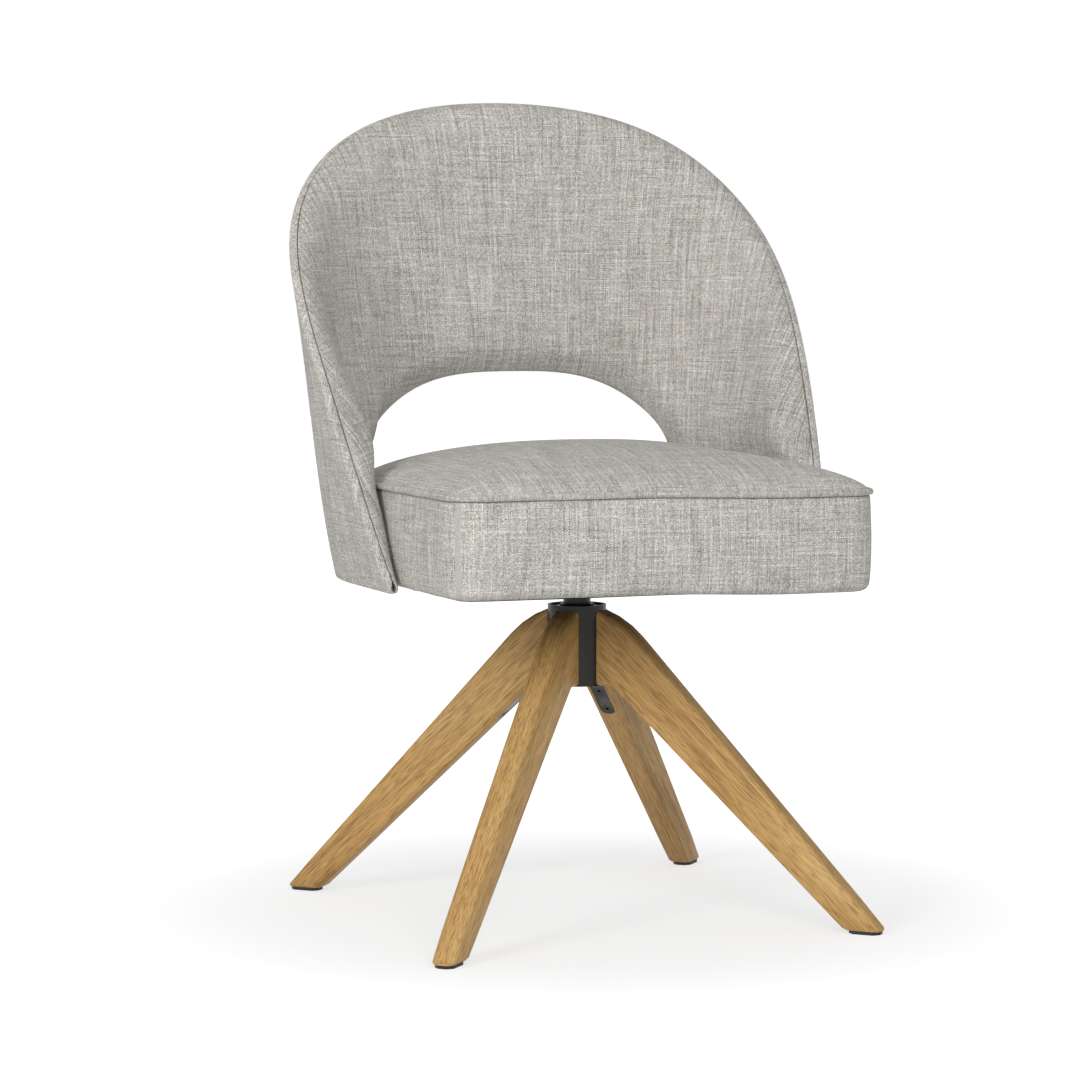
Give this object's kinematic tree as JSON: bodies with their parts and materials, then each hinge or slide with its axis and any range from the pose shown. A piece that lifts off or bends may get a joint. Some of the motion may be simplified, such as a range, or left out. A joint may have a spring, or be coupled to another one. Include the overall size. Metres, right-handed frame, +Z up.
{
  "type": "swivel dining chair",
  "caption": "Upholstered swivel dining chair: piped box cushion, wrapped backrest with an arched cut-out at the rear, and splayed oak legs on a central metal hub.",
  "frame": {"origin": "on the floor, on the swivel axis, under the centre of the hub", "axes": "+Z up along the swivel axis, the chair faces -Y, +X to the sitter's left"},
  "size_m": [0.544, 0.487, 0.835],
  "materials": {
    "powder_coat": "satin powder coat on cast and pressed metal",
    "spindle_black": "smooth black finished steel, semi-gloss",
    "oak": "solid oak, clear matt oil, straight grain along the leg",
    "black_zinc": "black zinc plated screws",
    "insert_brass": "plain brass",
    "bright_zinc": "bright zinc plated steel",
    "glide_plastic": "black moulded plastic",
    "bearing_plastic": "natural acetal",
    "plywood": "birch plywood and beech",
    "foam": "polyurethane foam",
    "seat_cloth": "light warm grey melange plain weave with slubs",
    "back_cloth": "light warm grey melange plain weave with slubs",
    "lining_cloth": "black non-woven dust cloth"
  },
  "bodies": {
    "base": {"hub": "powder_coat", "leg_front_left": "oak", "leg_front_right": "oak", "leg_back_left": "oak", "leg_back_right": "oak", "leg_screws": "black_zinc", "leg_inserts": "insert_brass", "glide_front_left": "glide_plastic", "glide_front_right": "glide_plastic", "glide_back_left": "glide_plastic", "glide_back_right": "glide_plastic", "upper_bush": "bearing_plastic", "lower_bush": "bearing_plastic", "thrust_washer": "bright_zinc"},
    "seat": {"spindle": "spindle_black", "retaining_washer": "bright_zinc", "circlip": "bright_zinc", "seat_plate": "powder_coat", "plate_screws": "bright_zinc", "plate_tee_nuts": "bright_zinc", "seat_board": "plywood", "seat_rail_left": "plywood", "seat_rail_right": "plywood", "seat_foam": "foam", "seat_cover": "seat_cloth", "seat_piping": "seat_cloth", "dust_cover": "lining_cloth", "back_frame": "plywood", "back_foam": "foam", "back_cover_front": "back_cloth", "back_cover_rear": "back_cloth", "wing_spacers": "glide_plastic", "wing_bolts": "bright_zinc", "wing_tee_nuts": "bright_zinc"}
  },
  "joints": [
    {"name": "seat_swivel", "type": "hinge", "parent": "base", "child": "seat", "pos_m": [0, 0, 0.3], "axis": [0, 0, 1], "continuous": true}
  ]
}
